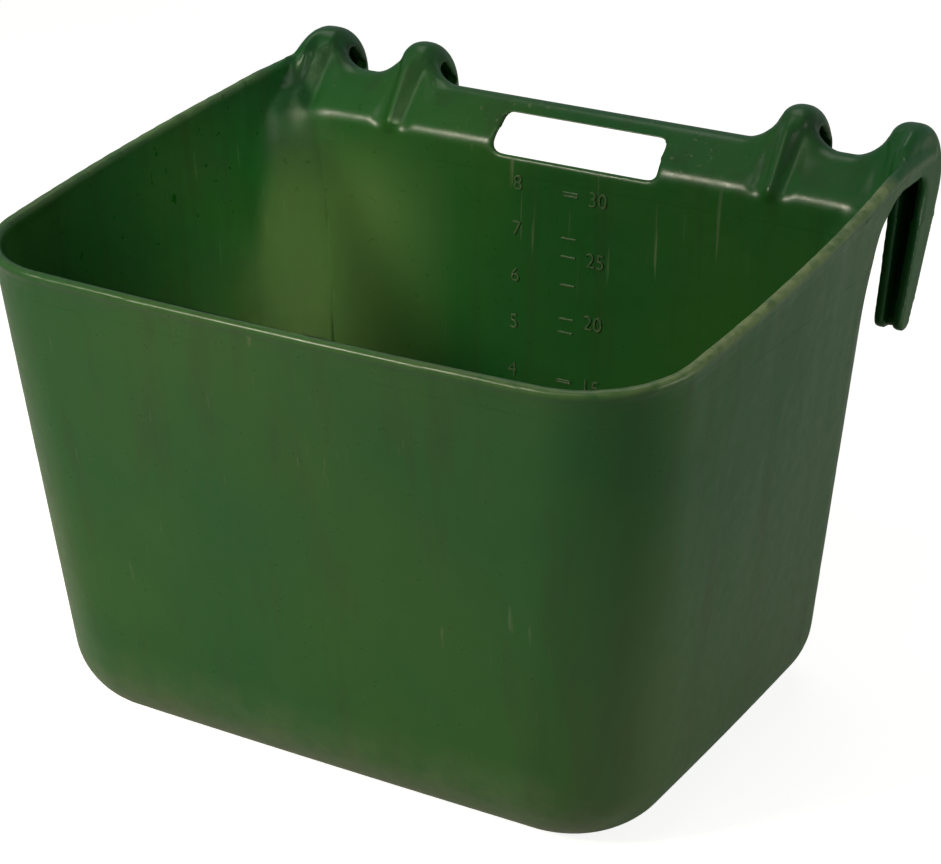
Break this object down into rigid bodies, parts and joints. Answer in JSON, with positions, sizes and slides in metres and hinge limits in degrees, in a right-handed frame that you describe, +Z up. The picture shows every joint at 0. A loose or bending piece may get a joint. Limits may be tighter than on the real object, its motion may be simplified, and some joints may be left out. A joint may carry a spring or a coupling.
{
  "type": "hook-on feed bucket",
  "caption": "Large open feed bucket moulded in one piece, with a rolled back header, a hand slot and hooks that hang it on a rail.",
  "frame": {"origin": "middle of the flat underside", "axes": "+Z up, +Y from the front wall to the rail behind the bucket, +X along the rail"},
  "size_m": [0.4382, 0.4082, 0.3344],
  "materials": {
    "green_polyethylene": "semi-gloss deep green moulded polyethylene"
  },
  "bodies": {
    "root": {"tub_wall": "green_polyethylene", "floor_panel": "green_polyethylene", "rim_bead": "green_polyethylene", "handle_header": "green_polyethylene", "left_header": "green_polyethylene", "right_header": "green_polyethylene", "left_outer_hook": "green_polyethylene", "left_inner_hook": "green_polyethylene", "right_inner_hook": "green_polyethylene", "right_outer_hook": "green_polyethylene"}
  },
  "joints": []
}
